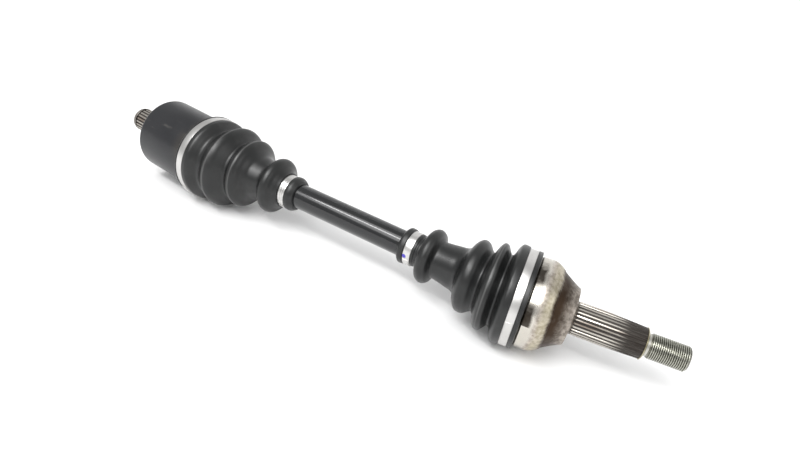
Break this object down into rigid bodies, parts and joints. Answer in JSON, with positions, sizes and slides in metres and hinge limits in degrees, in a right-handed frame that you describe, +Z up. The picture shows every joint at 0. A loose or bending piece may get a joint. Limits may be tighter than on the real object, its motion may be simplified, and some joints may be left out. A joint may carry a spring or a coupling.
{
  "type": "cv axle",
  "caption": "Front drive axle with a sliding ball joint and splined stub at one end, a wide-angle ball joint with a splined, threaded stub at the other, and bellows boots.",
  "frame": {"origin": "on the surface that the axle lies on, under the middle of its box", "axes": "+X along the bar towards the wheel end, +Z up, and both joints bend towards +Y at rest"},
  "size_m": [0.5622, 0.0832, 0.0822],
  "materials": {
    "black_paint": "semi-gloss black paint",
    "cup_paint": "satin black paint",
    "boot_rubber": "moulded black rubber with a soft sheen",
    "band_steel": "bright plain steel band",
    "forged_steel": "machined steel with straw and brown heat tints",
    "ball_steel": "ground and polished bearing steel",
    "race_steel": "ground hardened steel",
    "cage_steel": "dark hardened steel",
    "spring_steel": "dark oiled spring steel"
  },
  "bodies": {
    "bar": {"axle_bar": "black_paint", "inner_race": "race_steel", "inner_race_ring": "spring_steel", "inner_small_band": "band_steel", "outer_race": "race_steel", "outer_race_ring": "spring_steel", "outer_small_band": "band_steel"},
    "inner_boot": {"inner_boot": "boot_rubber"},
    "inner_joint": {"inner_cup": "cup_paint", "inner_stub_ring": "spring_steel", "inner_snap_ring": "spring_steel", "inner_large_band": "band_steel"},
    "inner_cage": {"inner_cage": "cage_steel", "inner_ball_1": "ball_steel", "inner_ball_2": "ball_steel", "inner_ball_3": "ball_steel", "inner_ball_4": "ball_steel", "inner_ball_5": "ball_steel", "inner_ball_6": "ball_steel"},
    "outer_boot": {"outer_boot": "boot_rubber"},
    "outer_joint": {"outer_bell": "forged_steel", "outer_large_band": "band_steel"},
    "outer_pivot_balls": {"outer_ball_1": "ball_steel", "outer_ball_4": "ball_steel"},
    "outer_cage": {"outer_cage": "cage_steel", "outer_ball_2": "ball_steel", "outer_ball_3": "ball_steel", "outer_ball_5": "ball_steel", "outer_ball_6": "ball_steel"}
  },
  "joints": [
    {"name": "inner_swing", "type": "hinge", "parent": "bar", "child": "inner_boot", "pos_m": [-0.19247, 0.00189, 0.04109], "axis": [0, 0, 1], "range_deg": [-11.5, 24], "deforming": ["inner_boot"]},
    {"name": "inner_plunge", "type": "slide", "parent": "inner_boot", "child": "inner_joint", "axis": [0.994, -0.1097, 0], "range_m": [-0.006, 0.009]},
    {"name": "inner_cage_swing", "type": "hinge", "parent": "bar", "child": "inner_cage", "pos_m": [-0.19247, 0.00189, 0.04109], "axis": [0, 0, 1], "range_deg": [-5.75, 12]},
    {"name": "outer_steer", "type": "hinge", "parent": "bar", "child": "outer_boot", "pos_m": [0.15503, 0.00189, 0.04109], "axis": [0, 1, 0], "range_deg": [-32, 32], "deforming": ["outer_boot"]},
    {"name": "outer_swing", "type": "hinge", "parent": "outer_boot", "child": "outer_joint", "pos_m": [0.15503, 0.00189, 0.04109], "axis": [0, 0, 1], "range_deg": [-16, 4]},
    {"name": "outer_cage_steer", "type": "hinge", "parent": "bar", "child": "outer_pivot_balls", "pos_m": [0.15503, 0.00189, 0.04109], "axis": [0, 1, 0], "range_deg": [-16, 16]},
    {"name": "outer_cage_swing", "type": "hinge", "parent": "outer_pivot_balls", "child": "outer_cage", "pos_m": [0.15503, 0.00189, 0.04109], "axis": [0, 0, 1], "range_deg": [-8, 2]}
  ],
  "couplings": [
    {"joint": "inner_cage_swing", "follows": "inner_swing", "ratio": 0.5},
    {"joint": "outer_cage_swing", "follows": "outer_swing", "ratio": 0.5},
    {"joint": "outer_cage_steer", "follows": "outer_steer", "ratio": 0.5}
  ]
}
